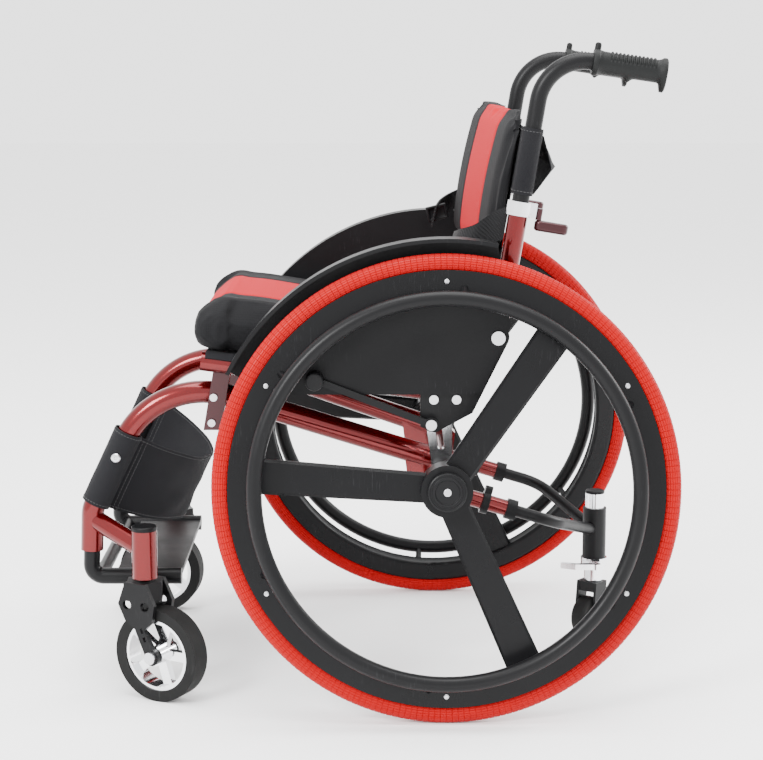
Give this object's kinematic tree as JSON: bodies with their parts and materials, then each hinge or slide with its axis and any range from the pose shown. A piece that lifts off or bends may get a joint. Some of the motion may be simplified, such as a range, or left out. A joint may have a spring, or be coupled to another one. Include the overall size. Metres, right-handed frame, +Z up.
{
  "type": "manual wheelchair",
  "caption": "Rigid-frame manual wheelchair with cambered spoked rear wheels, swivel front casters, folding backrest, calf strap, footplate and a rear anti-tip roller.",
  "frame": {"origin": "on the floor under the middle of the chair's overall length and width", "axes": "+Z up, the chair faces -Y, its left side is +X"},
  "size_m": [0.7126, 0.787, 0.8582],
  "materials": {
    "red_paint": "gloss metallic",
    "dark_red_paint": "satin metallic",
    "black_metal": "satin",
    "bright_metal": "polished",
    "steel": "brushed",
    "chrome_wheel": "polished",
    "red_tyre": "moulded",
    "black_tyre": "moulded",
    "black_plastic": "fine grain",
    "black_rubber": "ribbed",
    "black_fabric": "woven",
    "cushion_fabric": "mesh"
  },
  "bodies": {
    "frame": {"camber_tube": "red_paint", "axle_sleeves": "black_metal", "main_tube_left": "red_paint", "main_tube_right": "red_paint", "seat_rails": "red_paint", "cross_tube": "red_paint", "front_brackets": "dark_red_paint", "rear_brackets": "black_metal", "axle_hangers": "bright_metal", "caster_arms": "red_paint", "caster_housings": "red_paint", "caster_bearings": "steel", "caster_caps": "black_plastic", "axle_pin_left": "bright_metal", "axle_pin_right": "bright_metal", "frame_bolts": "steel", "side_guards": "black_plastic", "seat_sling": "black_fabric", "seat_cushion": "cushion_fabric", "calf_strap": "black_fabric", "antitip_sockets": "red_paint", "socket_clamps": "black_plastic"},
    "footrest": {"foot_frame": "black_metal", "footplate": "black_plastic"},
    "backrest": {"back_posts": "red_paint", "post_collars": "bright_metal"},
    "push_handles": {"push_tubes": "black_metal", "hand_grips": "black_rubber", "back_sling": "black_fabric", "back_cushion": "cushion_fabric"},
    "antitip_arm": {"antitip_yoke": "black_metal", "antitip_clamp": "bright_metal"},
    "antitip_tube": {"antitip_stem": "bright_metal", "antitip_cap": "black_plastic"},
    "antitip_swivel": {"antitip_fork": "black_metal", "antitip_axle": "steel"},
    "antitip_wheel": {"antitip_roller": "black_tyre"},
    "antitip_catch": {"antitip_lever": "bright_metal"},
    "wheel_left": {"rear_tyre_left": "red_tyre", "rear_wheel_left": "black_plastic", "hub_bearings_left": "steel", "handrim_left": "black_metal"},
    "button_left": {"axle_button_left": "steel"},
    "caster_left": {"caster_fork_left": "black_metal", "caster_axle_left": "steel"},
    "caster_roll_left": {"caster_wheel_left": "chrome_wheel", "caster_tyre_left": "black_tyre"},
    "back_catch_left": {"post_lever_left": "dark_red_paint"},
    "wheel_lock_left": {"lock_lever_left": "black_metal"},
    "wheel_right": {"rear_tyre_right": "red_tyre", "rear_wheel_right": "black_plastic", "hub_bearings_right": "steel", "handrim_right": "black_metal"},
    "button_right": {"axle_button_right": "steel"},
    "caster_right": {"caster_fork_right": "black_metal", "caster_axle_right": "steel"},
    "caster_roll_right": {"caster_wheel_right": "chrome_wheel", "caster_tyre_right": "black_tyre"},
    "back_catch_right": {"post_lever_right": "dark_red_paint"},
    "wheel_lock_right": {"lock_lever_right": "black_metal"}
  },
  "joints": [
    {"name": "wheel_left_spin", "type": "hinge", "parent": "frame", "child": "wheel_left", "pos_m": [0.275, 0.0935, 0.29786], "axis": [0.9925, 0, 0.1219], "continuous": true},
    {"name": "button_left_press", "type": "slide", "parent": "frame", "child": "button_left", "axis": [-0.9925, 0, -0.1219], "range_m": [0, 0.003], "stiffness_N_per_m": 300},
    {"name": "caster_left_swivel", "type": "hinge", "parent": "frame", "child": "caster_left", "pos_m": [0.205, -0.3015, 0.19], "axis": [0, 0, 1], "continuous": true},
    {"name": "caster_left_spin", "type": "hinge", "parent": "caster_left", "child": "caster_roll_left", "pos_m": [0.21627, -0.28031, 0.0625], "axis": [0.8829, -0.4695, 0], "continuous": true},
    {"name": "back_catch_left_turn", "type": "hinge", "parent": "backrest", "child": "back_catch_left", "pos_m": [0.189, 0.21316, 0.63362], "axis": [0, 0.1616, 0.9869], "range_deg": [0, 90]},
    {"name": "wheel_lock_left_swing", "type": "hinge", "parent": "frame", "child": "wheel_lock_left", "pos_m": [0.22, 0.0755, 0.371], "axis": [1, 0, 0], "range_deg": [0, 25]},
    {"name": "wheel_right_spin", "type": "hinge", "parent": "frame", "child": "wheel_right", "pos_m": [-0.275, 0.0935, 0.29786], "axis": [0.9925, 0, -0.1219], "continuous": true},
    {"name": "button_right_press", "type": "slide", "parent": "frame", "child": "button_right", "axis": [0.9925, 0, -0.1219], "range_m": [0, 0.003], "stiffness_N_per_m": 300},
    {"name": "caster_right_swivel", "type": "hinge", "parent": "frame", "child": "caster_right", "pos_m": [-0.205, -0.3015, 0.19], "axis": [0, 0, 1], "continuous": true},
    {"name": "caster_right_spin", "type": "hinge", "parent": "caster_right", "child": "caster_roll_right", "pos_m": [-0.20834, -0.32527, 0.0625], "axis": [-0.9903, 0.1392, 0], "continuous": true},
    {"name": "back_catch_right_turn", "type": "hinge", "parent": "backrest", "child": "back_catch_right", "pos_m": [-0.189, 0.21316, 0.63362], "axis": [0, -0.1616, -0.9869], "range_deg": [0, 90]},
    {"name": "wheel_lock_right_swing", "type": "hinge", "parent": "frame", "child": "wheel_lock_right", "pos_m": [-0.22, 0.0755, 0.371], "axis": [1, 0, 0], "range_deg": [0, 25]},
    {"name": "footrest_height", "type": "slide", "parent": "frame", "child": "footrest", "axis": [0, 0.0393, 0.9992], "range_m": [-0.01, 0.02]},
    {"name": "backrest_fold", "type": "hinge", "parent": "frame", "child": "backrest", "pos_m": [0, 0.1615, 0.484], "axis": [1, 0, 0], "range_deg": [0, 50]},
    {"name": "push_handle_height", "type": "slide", "parent": "backrest", "child": "push_handles", "axis": [0, 0.1616, 0.9869], "range_m": [0, 0.05]},
    {"name": "antitip_reach", "type": "slide", "parent": "frame", "child": "antitip_arm", "axis": [0, 0.9578, -0.2873], "range_m": [0, 0.04]},
    {"name": "antitip_height", "type": "slide", "parent": "antitip_arm", "child": "antitip_tube", "axis": [0, 0, -1], "range_m": [0, 0.01]},
    {"name": "antitip_turn", "type": "hinge", "parent": "antitip_tube", "child": "antitip_swivel", "pos_m": [0, 0.3145, 0.1], "axis": [0, 0, 1], "continuous": true},
    {"name": "antitip_spin", "type": "hinge", "parent": "antitip_swivel", "child": "antitip_wheel", "pos_m": [0.01073, 0.3055, 0.053], "axis": [-0.6428, -0.766, 0], "continuous": true},
    {"name": "antitip_catch_turn", "type": "hinge", "parent": "antitip_arm", "child": "antitip_catch", "pos_m": [0.0338, 0.3145, 0.131], "axis": [0, 0, 1], "range_deg": [0, 90]}
  ]
}
